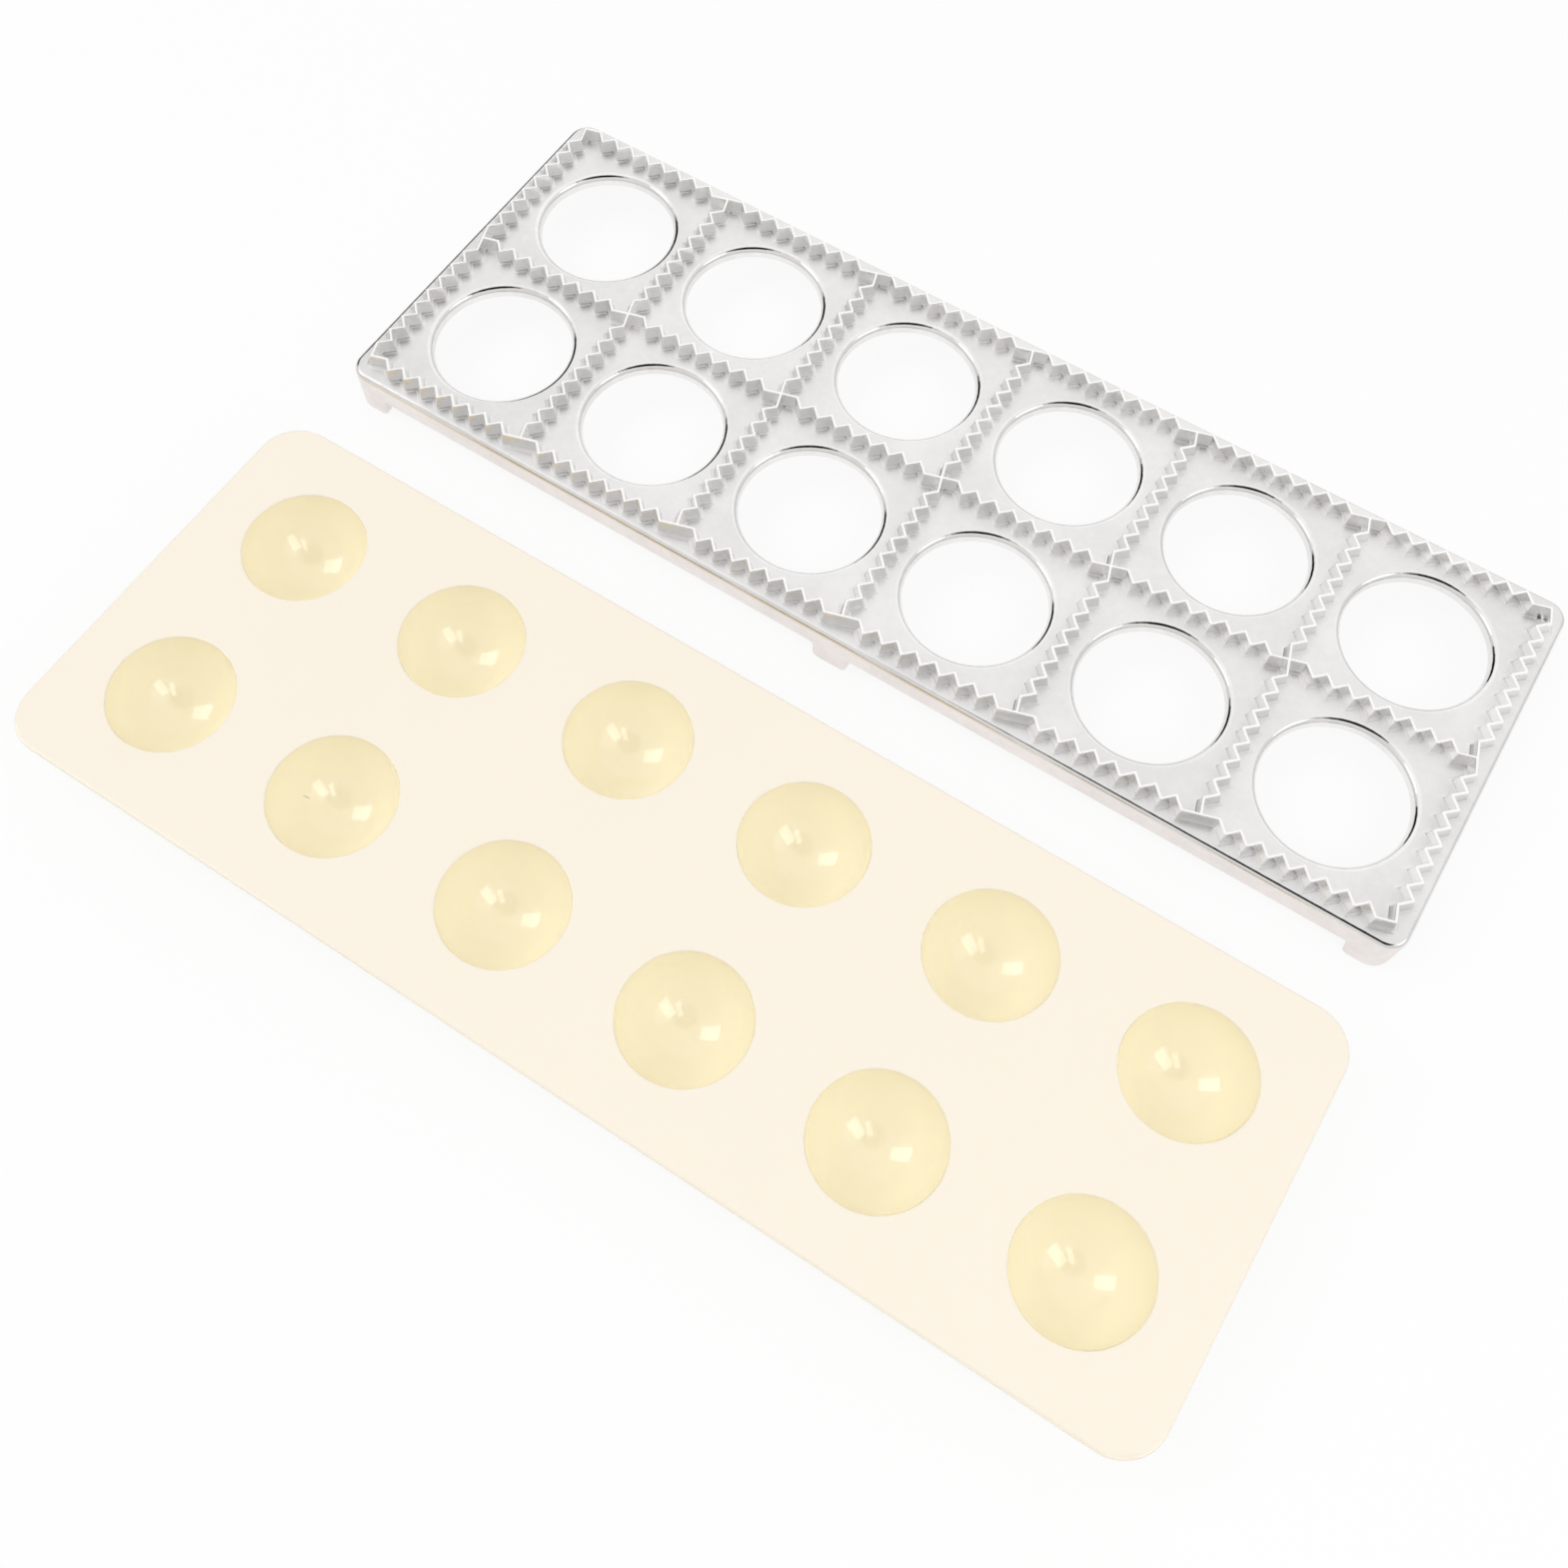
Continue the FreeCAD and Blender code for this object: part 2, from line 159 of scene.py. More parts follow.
# The lamp windows that the plastic mirrors: name, place, width and height
WINDOWS = (("right_window", (0.674, -0.207, 0.643), 0.28, 0.52),
           ("right_pane", (0.497, -0.447, 0.899), 0.16, 0.45),
           ("left_window", (-0.94, -0.37, 1.06), 0.55, 0.93))
# The camera, fitted to the photo's hole and bowl rims: its place, its turns about Z, X and Z again in
# degrees, and its lens and sensor in millimetres
CAMERA_PLACE = (0.090031, -0.162846, 0.352587)
CAMERA_TURNS = ((30.446, "Z"), (24.445, "X"), (2.188, "Z"))
LENS, SENSOR = 35.574, 36.0


def length(name, description, size):
    """A size that the sidebar shows as a length."""
    return FloatProperty(name=name, description=description, default=size, min=0, precision=5, unit="LENGTH")


def colour(name, description, value):
    """A colour that the sidebar shows with a picker, in linear values."""
    return FloatVectorProperty(name=name, description=description, default=value, min=0, max=1, size=3,
                               subtype="COLOR")


def share(name, description, value, most=1.0):
    """A plain number from nothing to a stated most."""
    return FloatProperty(name=name, description=description, default=value, min=0, max=most, subtype="FACTOR")


class MoldGrid(bpy.types.PropertyGroup):
    """The squares that both pieces share."""
    pitch: length("Square", "Side of one ravioli square", 50 * MM)
    columns: IntProperty(name="Columns", description="Squares along the length", default=6, min=1)
    rows: IntProperty(name="Rows", description="Squares across the width", default=2, min=1)


class TraySettings(bpy.types.PropertyGroup):
    """The cast cutting tray."""
    ridge_height: length("Ridge height", "Height of the ridges over the flat top", 3.5 * MM)
    ridge_top: length("Ridge top", "Half of the flat width on top of a ridge", 0.22 * MM)
    ridge_shoulder: length("Ridge shoulder", "Rounding of a ridge's upper edges", 0.15 * MM)
    ridge_draft: FloatProperty(name="Ridge draft", description="How far a ridge's walls lean in",
                               default=math.radians(8), min=0, max=math.radians(40), subtype="ANGLE")
    ridge_foot: length("Ridge foot", "How far the ridge's foot curves out over the flat top", 0.35 * MM)
    step_height: length("Step height", "Height of the low step round the ridges", 0.12 * MM)
    step_width: length("Step width", "How far the low step slopes down, past the ridge's foot", 0.5 * MM)
    tooth_spread: length("Tooth spread", "Moved sideways by this, a line's outer corners round by as much",
                         6.5 * MM)
    tooth_round: length("Tooth rounding", "Rounding of the zigzag's corners in plan", 0.2 * MM)
    tooth_count: IntProperty(name="Teeth", description="Zigzags along one side of a square", default=8, min=1)
    cross_reach: length("Crossing reach", "From a crossing of two ridges to the first tooth", 4.375 * MM)
    corner: length("Corner radius", "Corner radius of the tray in plan", 5.5 * MM)
    edge_round: length("Edge rounding", "Rounding of the tray's top edge", 1.4 * MM)
    plate: length("Plate", "Thickness of the tray's plate", 3 * MM)
    skirt_wall: length("Skirt wall", "Thickness of the skirt and feet", 2.2 * MM)
    skirt_depth: length("Skirt depth", "From the flat top down to the skirt's lower edge", 7 * MM)
    corner_foot: length("Corner foot", "Length of a corner foot along each side", 11 * MM)
    middle_foot: length("Middle foot", "Length of the middle foot on a long side", 10 * MM)
    foot_round: length("Foot rounding", "Rounding of a foot's lower ends", 1.8 * MM)
    root_round: length("Root rounding", "Rounding where a foot leaves the skirt's edge", 1.5 * MM)
    rim_round: length("Rim rounding", "Rounding of the skirt's lower edges", 0.3 * MM)
    hole_radius: length("Hole radius", "Radius of a hole below its lip", 19 * MM)
    lip_round: length("Lip", "Rounding of the lip round a hole", 1.8 * MM)
    metal: colour("Metal", "Colour of the cast aluminium", (0.915, 0.905, 0.895))
    roughness: share("Roughness", "Roughness of the cast skin", 0.42)


class PressSettings(bpy.types.PropertyGroup):
    """The moulded press plate."""
    plate: length("Plate", "Thickness of the press plate", 2 * MM)
    corner: length("Corner radius", "Corner radius of the press plate in plan", 11 * MM)
    edge_round: length("Edge rounding", "Rounding of the plate's upper and lower edges", 0.6 * MM)
    bowl_radius: length("Bowl radius", "Inner radius of a bowl, a half sphere", 15.8 * MM)
    bowl_wall: length("Bowl wall", "Wall of a bowl", 1.7 * MM)
    bowl_lip: length("Bowl lip", "Rounding of a bowl's upper rim", 0.3 * MM)
    bump_foot: length("Bump foot", "Rounding where a bump leaves the plate's underside", 1.0 * MM)
    plastic: colour("Plastic", "Colour of the cream plastic", (0.945, 0.868, 0.74))
    # Painted light: the bowls' colour, yellower and lighter for light bounced round them and coming through
    # their walls
    painted_bowl_glow: colour("Bowl plastic", "Its colour down in the bowls", (1.0, 0.925, 0.695))
    roughness: share("Roughness", "Roughness of the moulded skin", 0.015)


class StageSettings(bpy.types.PropertyGroup):
    """The floor, the world and the lamps."""
    backdrop: colour("Backdrop", "Colour of the floor and world as the camera sees them", (1.0, 1.0, 1.0))
    shadow: share("Shadow", "Share of the floor's own shading that the camera sees", 0.12)
    gloss_shadow: share("Mirrored shadow", "Share of the floor's own shading seen in reflections", 0.3)
    sky: share("Sky", "Strength of the world above its rim", 0.745, 4)
    rim: share("Rim", "Strength of the world at the horizon", 0.45, 4)
    glow: share("Glow", "What the broad bright patch behind the mold adds", 0.24, 4)
    spark: share("Spark", "What each small bright patch adds", 0.6, 4)
    lamps: share("Lamps", "Radiance of the lamp windows", 2.6, 20)
    # Painted reflections, seen only in reflections: the shaded floor between the pieces, lit by bounce from
    # the cream plate, and the warm bounce light close to the press plate
    painted_gap_shade: colour("Table", "What reflections show of the floor between the pieces", (0.95, 0.885, 0.86))
    painted_warm_bounce: colour("Warm table", "What they show of it close to the press plate", (0.74, 0.59, 0.36))


def heading(quarters):
    """Unit vectors along X, turned left by a number of quarter turns."""
    angle = np.asarray(quarters) * (np.pi / 2)
    return np.stack((np.cos(angle), np.sin(angle)), axis=-1)


def left(vectors):
    """The same vectors, turned left by a quarter turn."""
    return np.stack((-vectors[..., 1], vectors[..., 0]), axis=-1)


def raised(plan, height):
    """Points in plan, lifted to a height that is one number or one for each point."""
    height = np.broadcast_to(height, plan.shape[:-1])
    return np.concatenate((plan, height[..., None]), axis=-1)


def rounding(start, corner, end, steps):
    """A curve from start to end that leaves and arrives along the two straight lines to the corner."""
    t = np.linspace(0, 1, steps + 1)[:, None]
    return (1 - t) ** 2 * np.array(start) + 2 * t * (1 - t) * np.array(corner) + t ** 2 * np.array(end)


def quarter(steps):
    """Sines and cosines of evenly spaced angles from nothing to a quarter turn."""
    angle = np.linspace(0, np.pi / 2, steps + 1)
    return np.sin(angle), np.cos(angle)


class Loop:
    """Columns of a grid that runs once round some squares, against the clock.

    Each side of a square gives the same corners: `along` it from its start and `across` to its left. A corner
    has one or more columns, whose shares go from 0 to 1 through the corner's rounding.
    """

    def __init__(self, starts, quarters, along, across, columns, corner_columns, spread, first_column):
        """spread: how far the outer columns of a corner lie from its middle, on the straight side;
        first_column: how far the first column after a crossing lies from it."""
        per_side = len(along)
        self.first_column, self.fan = first_column, np.arctan2(spread, math.hypot(*starts[0]))
        starts, quarters = np.asarray(starts, float), np.asarray(quarters)
        self.side = np.repeat(heading(quarters), per_side, axis=0)
        self.base = np.repeat(starts, per_side, axis=0) + np.tile(along, len(starts))[:, None] * self.side
        self.corner = self.base + np.tile(across, len(starts))[:, None] * left(self.side)
        self.crossing = np.tile(np.arange(per_side) == 0, len(starts))
        turned = np.repeat(quarters != np.roll(quarters, 1), per_side)
        self.outer = self.crossing & turned
        counts = np.where(self.outer, corner_columns, columns)
        self.at = np.repeat(np.arange(len(counts)), counts)
        order = np.arange(len(self.at)) - np.repeat(np.cumsum(counts) - counts, counts)
        last = np.maximum(counts[self.at] - 1, 1)
        self.share = np.where(counts[self.at] > 1, order / last, 0.5)
        self.order = order
        self.spread = np.where(self.crossing[self.at], 0, spread * (2 * self.share - 1))

    def plain(self):
        """Every column's place on the straight sides, with all columns of a crossing in one point."""
        return self.base[self.at] + self.spread[:, None] * self.side[self.at]

    def offset(self, distance, hand, tooth_round, tooth_spread):
        """The middle line moved sideways by a distance, to the left (hand 1) or the right (hand -1).

        Each corner moves along its mitre. Its rounding grows with the distance's square where the moved line
        runs outside of it, and shrinks to a least one where the line runs inside of it.
        """
        into = self.corner - np.roll(self.corner, 1, axis=0)
        into /= np.linalg.norm(into, axis=1, keepdims=True)
        out = np.roll(into, -1, axis=0)
        straight = (into * out).sum(axis=1)
        turn = np.arctan2((left(into) * out).sum(axis=1), straight)
        mitre = (left(into) + left(out)) / (1 + straight)[:, None]
        radius = np.where(self.crossing, 0, tooth_round)
        least = min(distance, LEAST_ROUND * tooth_round)
        grown = radius + np.where(self.crossing, distance, distance ** 2 / tooth_spread)
        radius = np.where(hand * turn > 0, np.maximum(radius - distance, least), grown)
        reach = (radius * np.tan(np.abs(turn) / 2))[self.at, None]
        share = self.share[:, None]
        moved = (self.corner + hand * distance * mitre)[self.at]
        return moved + reach * (share ** 2 * out[self.at] - (1 - share) ** 2 * into[self.at])


class Outline:
    """A rounded rectangle whose points belong to the columns of a loop round the whole grid.

    A point is its core, on the rectangle through the centres of the corner arcs, plus the radius times its
    normal, so that an inset or a move along the edge changes one term each.
    """

    def __init__(self, loop, centre, half_size, radius, straight=0, first_turn=0.0):
        """straight: columns of a corner that lie on each side of its arc; first_turn: the angle of the arc
        that the columns next to a corner share out among them."""
        self.radius, self.centre, self.half_size = radius, centre, np.array(half_size)
        side = loop.side[loop.at]
        away = -left(side)
        plain = loop.plain()
        between = loop.crossing & ~loop.outer
        fan = np.where(between[loop.at], (2 * loop.share - 1) * loop.first_column * EDGE_SHARE, 0)
        self.side, self.ahead = side, (plain * side).sum(axis=1) + fan
        long = np.abs((self.half_size - radius) * side).sum(axis=1)
        wide = np.abs((self.half_size - radius) * away).sum(axis=1)
        reach = np.abs(np.abs(plain).max(axis=0) * side).sum(axis=1)
        over = np.clip(np.abs(self.ahead) - long, 0, None) / np.maximum(reach - long, WELD)
        turn = np.sign(self.ahead) * over * first_turn
        core = centre + np.clip(self.ahead, -long, long)[:, None] * side + wide[:, None] * away
        normal = np.cos(turn)[:, None] * away + np.sin(turn)[:, None] * side
        # A corner's columns: some on the side before it, the arc, and as many on the side after it
        corner = loop.outer[loop.at]
        last = loop.order[corner].max()
        stage = np.clip((loop.order - straight) / (last - 2 * straight), 0, 1)
        turn = (first_turn + stage * (np.pi / 2 - 2 * first_turn))[:, None]
        gap = (long - reach + loop.first_column) / (straight + 1)
        before = (np.clip(straight - loop.order, 0, straight) * gap)[:, None]
        after = (np.clip(loop.order - last + straight, 0, straight) * gap)[:, None]
        self.core = np.where(corner[:, None], core + before * left(side) + after * side, core)
        self.normal = np.where(corner[:, None], np.sin(turn) * away - np.cos(turn) * side, normal)

    def at(self, inset, shift=0.0):
        """The outline, drawn in by an inset and with its points moved along it, against the clock."""
        shift = np.broadcast_to(shift, len(self.core))[:, None]
        return self.core + shift * left(self.normal) + (self.radius - inset) * self.normal

    def upwards(self, shift, drop):
        """How far along the outline and how far up a step square to the lower edge goes, as two arrays."""
        edge = self.at(0)
        place = np.linalg.norm(np.roll(edge, -1, axis=0) - edge, axis=1)
        along = place + np.roll(place, 1) + np.roll(shift, -1) - np.roll(shift, 1)
        rise = np.roll(drop, 1) - np.roll(drop, -1)
        size = np.hypot(along, rise)
        return -rise / size, along / size


def grid_loops(grid, along, across, columns, corner_columns, spread, first_column):
    """The loop round one square centred on the origin, and the one round all squares."""
    half = grid.pitch / 2
    square = Loop([(-half, -half), (half, -half), (half, half), (-half, half)], range(SQUARE), along, across,
                  columns, columns, spread, first_column)
    quarters = np.repeat(range(SQUARE), (grid.columns, grid.rows) * 2)
    steps = heading(quarters) * grid.pitch
    starts = np.cumsum(steps, axis=0) - steps - np.array((grid.columns, grid.rows)) * half
    return square, Loop(starts, quarters, along, across, columns, corner_columns, spread, first_column)


def square_centres(grid, centre):
    """Centres of all squares of a grid centred on a point, one row of numbers each."""
    x, y = np.meshgrid(np.arange(grid.columns) - (grid.columns - 1) / 2,
                       np.arange(grid.rows) - (grid.rows - 1) / 2)
    return np.stack((x.ravel(), y.ravel()), axis=1) * grid.pitch + centre


def circle(loop, radius, row=None):
    """Points of a circle in the directions in which a square's columns lie; a crossing's columns fan out.

    With a row, they turn most of the way to that row's own points, so that no column crosses its neighbour.
    """
    plain = loop.plain()
    fan = np.where(loop.crossing[loop.at], (2 * loop.share - 1) * loop.fan, 0)
    angle = np.arctan2(plain[:, 1], plain[:, 0]) + fan
    if row is not None:
        apart = np.arctan2(row[:, 1], row[:, 0]) - angle
        angle = angle + ROW_SHARE * ((apart + np.pi) % (2 * np.pi) - np.pi)
    return radius * np.stack((np.cos(angle), np.sin(angle)), axis=1)


def mesh_object(name, grids):
    """One closed mesh from grids of points whose columns close on themselves, as (points, outward) pairs.

    Points that fall together become one, a quad that loses a corner becomes a triangle, and the rows of an
    outward grid run away from the squares, so that its quads are wound the other way.
    """
    points, quads, total = [], [], 0
    for grid, outward in grids:
        rows, columns = grid.shape[:2]
        number = np.arange(total, total + rows * columns).reshape(rows, columns)
        beside = np.roll(number, -1, axis=1)
        ring = np.stack((number[:-1], beside[:-1], beside[1:], number[1:]), axis=-1).reshape(-1, 4)
        quads.append(ring[:, ::-1] if outward else ring)
        points.append(grid.reshape(-1, 3))
        total += rows * columns
    points, quads = np.concatenate(points), np.concatenate(quads)
    keys = np.round(points / WELD).astype(np.int64)
    _, first, number = np.unique(keys, axis=0, return_index=True, return_inverse=True)
    quads = number.reshape(-1)[quads]
    double = quads == np.roll(quads, -1, axis=1)
    whole = quads[double.sum(axis=1) == 0]
    bent = double.sum(axis=1) == 1
    triangles = quads[bent][~double[bent]].reshape(-1, 3)
    mesh = bpy.data.meshes.new(name)
    mesh.from_pydata(points[first].tolist(), [], whole.tolist() + triangles.tolist())
    mesh.shade_smooth()
    made = bpy.data.objects.new(name, mesh)
    bpy.context.collection.objects.link(made)
    weighted = made.modifiers.new("weighted_normals", "WEIGHTED_NORMAL")
    weighted.keep_sharp = True
    return made


def copies(rows, centres):
    """The same grid of points round each of the centres."""
    return [(rows + raised(centre, 0.0), False) for centre in centres]


def ridge_profile(tray):
    """Distances from a ridge's middle line and heights over the flat top.

    A flat top, a round shoulder, a wall that leans in, a foot that curves out to a low step, and the step's
    slope down to the flat.
    """
    lean = tray.ridge_draft
    angle = np.linspace(0, np.pi / 2 - lean, SHOULDER_STEPS + 1)
    shoulder = np.stack((tray.ridge_top + tray.ridge_shoulder * np.sin(angle),
                         tray.ridge_height - tray.ridge_shoulder * (1 - np.cos(angle))), axis=1)
    out, height = shoulder[-1]
    corner = np.array((out + (height - tray.step_height) * math.tan(lean), tray.step_height))
    foot_start = corner + tray.ridge_foot * np.array((-math.sin(lean), math.cos(lean)))
    middle = (shoulder[-1] + foot_start) / 2
    foot = rounding(foot_start, corner, corner + (tray.ridge_foot, 0), FOOT_STEPS)
    # The step: a short level run, then two roundings that leave and arrive level and meet half way down
    part = np.array((tray.step_width / 4, 0))
    edge = foot[-1] + part
    half_way = edge + (tray.step_width / 2, -tray.step_height / 2)
    slope = rounding(edge, edge + part, half_way, SLOPE_STEPS)
    flat = np.array((edge[0] + tray.step_width, 0))
    slope_end = rounding(half_way, flat - part, flat, SLOPE_STEPS)[1:]
    return np.vstack(((0, tray.ridge_height), shoulder, middle, foot, slope, slope_end))


def half_foot(near, side, far, before, beyond, tray, height):
    """The lower edge from under a foot out to the skirt beside it.

    Distances along the edge and drops from the flat top: straight under the foot, round its end, up its
    side, and round into the skirt's lower edge.
    """
    sine, cosine = quarter(END_STEPS)
    foot, root = tray.foot_round, tray.root_round
    end = (side - foot + foot * sine, height - foot * (1 - cosine))
    sine, cosine = quarter(ROOT_STEPS)
    turn = (side + root * (1 - cosine), tray.skirt_depth + root * (1 - sine))
    under = np.linspace(near, side - foot, before + 1)[:-1]
    past = np.linspace(side + root, far, beyond + 1)[1:]
    distance = np.concatenate((under, end[0], turn[0], past))
    drop = np.concatenate((np.full(before, height), end[1], turn[1], np.full(beyond, tray.skirt_depth)))
    return distance, drop


def lower_edge(loop, outline, tray, height):
    """Of each column: how far its point moves along the skirt's lower edge, the same for its point on the
    row above, and how far below the flat top the edge is.

    The row above splays a foot's columns a little, in towards its middle where they end low and out where
    they end high, so that with the rim's rounding no two of them cross on the foot's upright sides.
    """
    count = len(loop.at)
    corner = loop.outer[loop.at]
    drop = np.where(corner, height, tray.skirt_depth)
    shift, splay = np.zeros(count), np.zeros(count)
    side_middle = (height - tray.foot_round + tray.skirt_depth + tray.root_round) / 2
    core = outline.core - outline.centre
    last = loop.order[corner].max()
    rounded = END_STEPS + ROOT_STEPS + 2
    feet = []
    for first in np.flatnonzero(corner & (loop.order == 0)):
        side = outline.side[first]
        for hand, direction, start in ((1, side, first + last + 1 - KEPT_COLUMNS),
                                       (-1, -left(side), first + KEPT_COLUMNS - 1)):
            columns = (start + hand * np.arange(rounded + sum(CORNER_RUN))) % count
            end = np.abs(outline.half_size * direction).sum()
            place = end + hand * (core[columns] @ direction)
            feet.append((columns, hand, place, tray.corner_foot, *CORNER_RUN))
    middle = loop.crossing[loop.at] & (loop.share == 0.5) & ~corner
    middle &= (np.abs(core[:, 0]) < WELD) & (np.abs(core[:, 1]) > tray.corner_foot)
    for centre in np.flatnonzero(middle):
        drop[centre] = height
        for hand in (1, -1):
            columns = (centre + hand * (1 + np.arange(rounded + sum(MIDDLE_RUN)))) % count
            place = hand * (core[columns] @ outline.side[centre])
            feet.append((columns, hand, place, tray.middle_foot / 2, *MIDDLE_RUN))
    for columns, hand, place, side, before, beyond in feet:
        distance, depth = half_foot(place[0], side, place[-1], before, beyond, tray, height)
        shift[columns] = hand * (distance - place)
        drop[columns] = depth
        splay[columns] = hand * SPLAY * (side_middle - depth)
    return shift, shift + splay, drop


def tray_square(loop, tray, top):
    """Rows of one square from the ridge's middle line in over the flat, down the hole and out below."""
    rows = [raised(loop.offset(distance, 1, tray.tooth_round, tray.tooth_spread), top + height)
            for distance, height in ridge_profile(tray)]
    sine, cosine = quarter(LIP_STEPS)
    lip = np.stack((tray.hole_radius + tray.lip_round * (1 - sine), -tray.lip_round * (1 - cosine)), axis=1)
    radius, rim = tray.hole_radius, tray.rim_round
    foot = rounding((radius, rim - tray.plate), (radius, -tray.plate), (radius + rim, -tray.plate), RIM_STEPS)
    rows += [raised(circle(loop, out, rows[-1]), top + height) for out, height in np.vstack((lip, foot))]
    rows.append(raised(loop.plain(), top - tray.plate))
    return np.array(rows)


def tray_border(loop, tray, outline, top):
    """Rows from the outer ridges' middle line over the edge, down the skirt and feet, and back up inside."""
    rows = [raised(loop.offset(distance, -1, tray.tooth_round, tray.tooth_spread), top + height)
            for distance, height in ridge_profile(tray)]
    rows = [row + raised(outline.centre, 0.0) for row in rows]
    sine, cosine = quarter(EDGE_STEPS)
    for inset, drop in zip(tray.edge_round * (1 - sine), tray.edge_round * (1 - cosine)):
        rows.append(raised(outline.at(inset), top - drop))
    shift, upper, drop = lower_edge(loop, outline, tray, top)
    along, up = outline.upwards(shift, drop)
    rim, wall = tray.rim_round, tray.skirt_wall
    above, upper = top - UPPER_ROW * tray.skirt_depth, upper + along * rim
    rows.append(raised(outline.at(0, upper), above))
    sine, cosine = quarter(RIM_STEPS)
    for inward, lift in zip(rim * (1 - cosine), rim * (1 - sine)):
        rows.append(raised(outline.at(inward, shift + along * lift), top - drop + up * lift))
    for inward, lift in zip(wall - rim * (1 - sine), rim * (1 - cosine)):
        rows.append(raised(outline.at(inward, shift + along * lift), top - drop + up * lift))
    rows.append(raised(outline.at(wall, upper), above))
    inner = rounding((wall, tray.plate + rim), (wall, tray.plate), (wall + rim, tray.plate), RIM_STEPS)
    for inset, depth in inner:
        rows.append(raised(outline.at(inset), top - depth))
    rows.append(raised(loop.plain() + outline.centre, top - tray.plate))
    return np.array(rows)


def press_square(loop, press, top):
    """Rows of one square of the press plate: from the side in to the bowl's lip, and down to its pole.

    The lip is an arc that leaves the plate level and meets the bowl's half sphere along its slope there.
    """
    inner, lip = press.bowl_radius, press.bowl_lip
    centre = math.sqrt((inner + lip) ** 2 - lip ** 2)
    meet = math.asin(lip / (inner + lip))
    angle = np.linspace(0, np.pi / 2 - meet, BOWL_STEPS + 1)
    bowl = np.stack((inner * np.sin(angle), -inner * np.cos(angle)), axis=1)
    angle = np.linspace(np.pi / 2 - meet, 0, BOWL_LIP_STEPS + 1)[1:]
    rim = np.stack((centre - lip * np.sin(angle), lip * (np.cos(angle) - 1)), axis=1)
    profile = np.vstack((bowl, rim))[::-1]
    rows = [raised(loop.plain(), top)]
    rows += [raised(circle(loop, out), top + height) for out, height in profile]
    return np.array(rows)


def press_bump(loop, press, top):
    """Rows of one square from below: from the bump's pole up over it and out along the underside.

    The root is an arc that leaves the bump's sphere along its slope and meets the underside level.
    """
    outer, foot = press.bowl_radius + press.bowl_wall, press.bump_foot
    level = press.plate + foot
    centre = math.sqrt((outer + foot) ** 2 - level ** 2)
    meet = math.asin(level / (outer + foot))
    angle = np.linspace(np.pi / 2, meet, BUMP_FOOT_STEPS + 1)
    root = np.stack((centre - foot * np.cos(angle), foot * np.sin(angle) - level), axis=1)
    angle = np.linspace(meet, np.pi / 2, BUMP_STEPS + 1)[1:]
    bump = np.stack((outer * np.cos(angle), -outer * np.sin(angle)), axis=1)
    profile = np.vstack((root, bump))[::-1]
    rows = [raised(circle(loop, out), top + height) for out, height in profile]
    rows.append(raised(loop.plain(), top - press.plate))
    return np.array(rows)


def press_border(loop, press, outline, top):
    """Rows from the grid's straight sides over the plate's rounded edge and back in along the underside."""
    edge = raised(loop.plain() + outline.centre, 0.0)
    sine, cosine = quarter(PRESS_EDGE_STEPS)
    inset, drop = press.edge_round * (1 - sine), press.edge_round * (1 - cosine)
    rows = [edge + (0, 0, top)]
    rows += [raised(outline.at(i), top - d) for i, d in zip(inset, drop)]
    rows += [raised(outline.at(i), top - press.plate + d) for i, d in zip(inset[::-1], drop[::-1])]
    rows.append(edge + (0, 0, top - press.plate))
    return np.array(rows)


class Number:
    """A shader socket that holds a number. Arithmetic on it adds Math nodes."""

    def __init__(self, shader, socket):
        self.shader, self.socket = shader, socket

    def math(self, operation, *values):
        """A Math node on this number and further ones."""
        inputs = dict(enumerate((self,) + values))
        return self.shader.node("ShaderNodeMath", inputs, operation=operation)

    def __add__(self, other):
        return self.math("ADD", other)

    def __sub__(self, other):
        return self.math("SUBTRACT", other)

    def __rsub__(self, other):
        return self.shader.node("ShaderNodeMath", {0: other, 1: self}, operation="SUBTRACT")

    def __mul__(self, other):
        return self.math("MULTIPLY", other)

    __radd__, __rmul__ = __add__, __mul__

    def clamped(self):
        """The number, kept between 0 and 1."""
        return self.shader.node("ShaderNodeClamp", {"Value": self})


